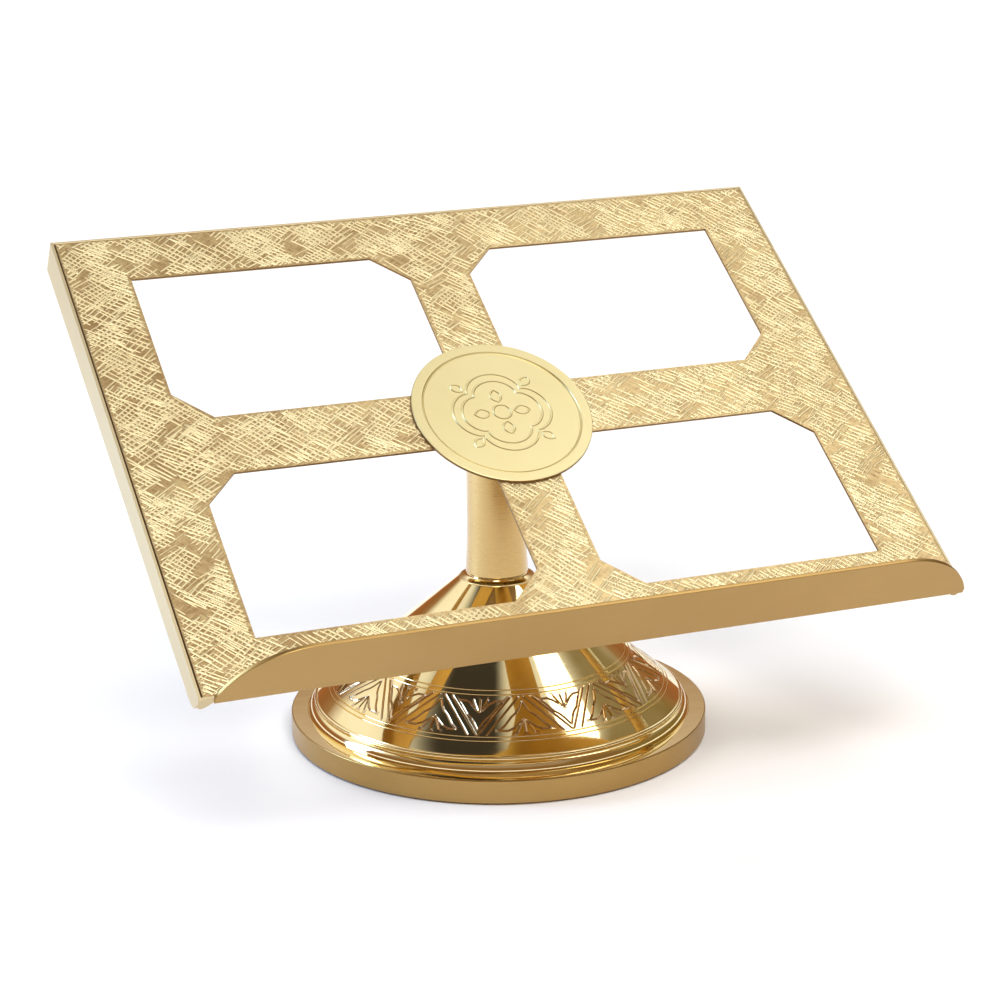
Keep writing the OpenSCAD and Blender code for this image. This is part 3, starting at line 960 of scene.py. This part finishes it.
def make_plate():
    def choose(face):
        if face.normal.z > 0.5:
            return 0
        return 2 if face.normal.z < -0.5 else 3

    # The sheet's sides take the dark edge finish, which is painted shade in the seams beside the rails.
    piece = softened("desk_plate", [hatched_ground(), hatched_ridge(), toned_back(), cut_edge_painted_shade()],
                     0.15, True, choose, "desk_hatched_sheet")
    work = bmesh.new()
    work.from_mesh(piece.data)
    for vertex in work.verts:
        if vertex.co.z > FACE - 0.5 * MM:
            vertex.co.x += SEAM_LEFT * (vertex.co.x < plate_low.x + 0.5 * MM)
            vertex.co.x -= SEAM * (vertex.co.x > plate_high.x - 0.5 * MM)
            vertex.co.y -= SEAM * (vertex.co.y > plate_high.y - 0.5 * MM)
    hatch(work, 1)
    work.to_mesh(piece.data)
    work.free()


def make_medallion():
    high = medal_high.z / MM
    low = medal_low.z / MM
    radius = MEDAL_R / MM
    field = radius - 5.2
    sink = high - 0.4
    edge = [(0, low), (radius - 0.2, low), (radius, low + 0.2), (radius, high - 0.35)]
    profile = rounded((radius - 0.35, high - 0.35), 0.35, 0, 90)
    profile += [(field + 0.35, high), (field + 0.1, high - 0.25), (field - 0.15, sink - 0.35),
                (field - 0.4, sink - 0.35), (field - 0.7, sink), (2, sink), (0, sink)]
    metal = Metal()
    turn_profile(metal, millimetres(with_finish(edge, 1) + with_finish(profile)), 180)
    # The disc's rim takes the dark edge finish, which is painted shade under its edge.
    place_piece("medallion_disc", metal.mesh("medallion_disc"), [pale_face(), cut_edge_painted_shade()], "desk",
                "medallion", DESK)
    make_rosette(sink)


def raised_line(work, run, width, height, base):
    """A low bead with a flat top that follows a ring of points."""
    rings = []
    for before, at, after in zip(run[-1:] + run[:-1], run, run[1:] + run[:1]):
        along = (after - before).normalized()
        square = Vector((-along.y, along.x)) * width / 2
        rings.append([work.verts.new((*(at + square * aside), up)) for aside, up in
                      ((1, base - 0.05), (0.35, base + height), (-0.35, base + height), (-1, base - 0.05))])
    for first, second in zip(rings, rings[1:] + rings[:1]):
        for i in range(4):
            j = (i + 1) % 4
            work.faces.new((first[i], second[i], second[j], first[j]))


def make_rosette(base):
    """Four-lobed ornament with leaves between the lobes, in thin raised outlines."""
    def polar(radius, angle):
        return Vector((radius * math.cos(angle), radius * math.sin(angle)))

    def leaf(start, length, half_width, angle):
        """Outline of a pointed leaf that grows outwards from a radius."""
        turn = Matrix.Rotation(angle, 2)
        shares = [(1, i / 8) for i in range(9)] + [(-1, i / 8) for i in range(7, 0, -1)]
        return [turn @ Vector((start + length * t, side * half_width * math.sin(math.pi * t) ** 0.8))
                for side, t in shares]

    line_w, leaf_line_w, rise = 1.3, 1.2, 0.42
    work = bmesh.new()
    steps = 96
    for reach, swell in ((18.2, 5.2), (14.6, 4.4)):
        raised_line(work, [polar(reach + swell * abs(math.cos(2 * TURN * i / steps)) ** 0.7, TURN * i / steps)
                           for i in range(steps)], line_w, rise, base)
    raised_line(work, [polar(4.2, TURN * i / 32) for i in range(32)], line_w, rise, base)
    for quarter in range(4):
        raised_line(work, leaf(6.0, 7.4, 2.6, TURN * quarter / 4), leaf_line_w, rise, base)
        raised_line(work, leaf(20.5, 6.4, 2.1, TURN * (quarter + 0.5) / 4), leaf_line_w, rise, base)
    bmesh.ops.scale(work, vec=(MM, MM, MM), verts=work.verts)
    bmesh.ops.recalc_face_normals(work, faces=work.faces)
    mesh = bpy.data.meshes.new("medallion_rosette")
    work.to_mesh(mesh)
    work.free()
    place_piece("medallion_rosette", mesh, [pale_face()], "desk", None, DESK)


# ---- room ----

ASIDE = (0.9285, -0.3714, 0)    # level, to the right of the line from the camera to the stand
NEAR = (-0.3714, -0.9285, 0)    # level, from the stand towards the camera


def softbox(name, place, aim, width, height, radiance, tint=(1, 1, 1)):
    lamp = bpy.data.lights.new(name, "AREA")
    lamp.shape = "RECTANGLE"
    lamp.size, lamp.size_y = width, height
    lamp.energy = radiance * math.pi * width * height
    lamp.color = tint
    box = bpy.data.objects.new(name, lamp)
    box.matrix_world = Matrix.Translation(place) @ (Vector(aim) - Vector(place)).to_track_quat(
        "-Z", "Y").to_matrix().to_4x4()
    box.visible_camera = False
    bpy.context.scene.collection.objects.link(box)


def sunlight(name, way, energy, degrees, shaded=()):
    """A broad distant light; the shaded pieces, which would mirror it, don't receive it."""
    sun = bpy.data.lights.new(name, "SUN")
    sun.energy, sun.angle = energy, math.radians(degrees)
    lamp = bpy.data.objects.new(name, sun)
    if shaded:
        unlit = bpy.data.collections.new(name + "_unlit")
        for piece in shaded:
            unlit.objects.link(bpy.data.objects[piece])
        lamp.light_linking.receiver_collection = unlit
        for member in unlit.collection_objects:
            member.light_linking.link_state = "EXCLUDE"
    lamp.matrix_world = Vector(way).to_track_quat("Z", "Y").to_matrix().to_4x4()
    bpy.context.scene.collection.objects.link(lamp)


def make_room():
    scene = bpy.context.scene
    scene.view_settings.view_transform = "Standard"
    scene.view_settings.look = "None"
    floor = bpy.data.meshes.new("floor")
    reach = 8.0
    floor.from_pydata([(-reach, -reach, 0), (reach, -reach, 0), (reach, reach, 0), (-reach, reach, 0)], [],
                      [(0, 1, 2, 3)])
    board = bpy.data.objects.new("floor", floor)
    scene.collection.objects.link(board)
    material = bpy.data.materials.new("pale_floor")
    material.use_nodes = True
    bench = Bench(material.node_tree)
    shader = bench.node("BsdfPrincipled", None, {
        "Base Color": bench.mixed(bench.noise(bench.place(), 0.004), colour(0.91, 0.91, 0.91),
                                  colour(0.95, 0.95, 0.95)),
        "Roughness": 0.9,
        "Specular IOR Level": 0.0,
    })
    bench.node("OutputMaterial", None, {"Surface": shader})
    floor.materials.append(material)
    world = bpy.data.worlds.new("room")
    scene.world = world
    world.use_nodes = True
    bench = Bench(world.node_tree)
    way = bench.node("TexCoord", None, None, "Generated")
    height = bench.node("SeparateXYZ", None, {0: way}, 2)
    aside = bench.node("VectorMath", {"operation": "DOT_PRODUCT"}, {0: way, 1: ASIDE}, 1)
    glow = bench.node("ValToRGB", {"stops": [
        (0.0, (0.32, 0.12, 0.04)), (0.2, (0.26, 0.115, 0.045)), (0.32, (0.31, 0.18, 0.09)),
        (0.46, (0.90, 0.89, 0.86)), (0.66, (0.95, 0.95, 0.95)), (0.85, (0.72, 0.71, 0.68))]}, {0: height})
    shelf = bench.mixed(0.93 * bench.steps(aside, 0.53, 0.64), glow, colour(0.19, 0.14, 0.05))
    near = bench.node("VectorMath", {"operation": "DOT_PRODUCT"}, {0: way, 1: NEAR}, 1)
    shelf = bench.mixed(0.85 * bench.steps(near, 0.12, 0.30), shelf, colour(0.20, 0.115, 0.05))
    dark = bench.steps(height, 0.80, 0.92) * (1 - bench.steps(aside, -0.04, 0.10))
    around = bench.mixed(dark, shelf, colour(0.04, 0.034, 0.028))
    backdrop = bench.node("LightPath", None, None, "Is Camera Ray")
    light = bench.node("Background", None, {"Color": bench.mixed(backdrop, around, colour(0.88, 0.88, 0.88)),
                                            "Strength": 1.21})
    bench.node("OutputWorld", None, {"Surface": light})
    sunlight("front_window", (-0.084, -0.613, 0.78), 2.5, 40, ("foot_spun_shell",))
    sunlight("ceiling_disc", (0.4475, -0.0928, 0.89), 0.235, 18)
    left_place = tuple(-1.15 * share for share in ASIDE[:2]) + (0.45,)
    softbox("left_board", left_place, (0, 0, 0.3), 0.35, 0.9, 8.0, (0.5, 0.85, 1.4))


place_camera()
make_foot()
make_neck()
make_stem()
make_plate()
make_medallion()
softened("side_rail_left", [pale_strip()], 0.35, True)
softened("side_rail_right", [pale_strip()], 0.35, True)
softened("back_rail", [pale_strip()], 0.35, True)
softened("book_ledge", [satin_strip()], 0.35, True)
softened("knuckle_head", [satin_turned()], 0.3)
softened("hinge_yoke", [satin_turned()], 0.3, True)
softened("clamp_knob", [polished()], 0.15, True)
softened("tilt_bolt", [polished()], 0.15, True)
softened("clamp_washer", [polished()], 0.15, True)
softened("friction_washers", [red_fibre()], 0.1, True)
softened("yoke_screws", [zinc_steel()], 0.1, True)
softened("base_cover", [black_steel()], 0.2)
softened("felt_pad", [green_felt()], 0.4)
softened("bush_nut", [zinc_steel()], 0.2)
softened("rod_lock_nut", [zinc_steel()], 0.2)
softened("rod_washer", [zinc_steel()], 0.1)
softened("spring_washer", [black_steel()], 0.1)
softened("tie_rod", [zinc_steel()], 0.2)
softened("base_ballast", [cast_iron()], 0.5)
softened("stem_foot_plug", [satin_turned()], 0.2)
softened("thrust_washer", [nylon()], 0.05)
make_room()
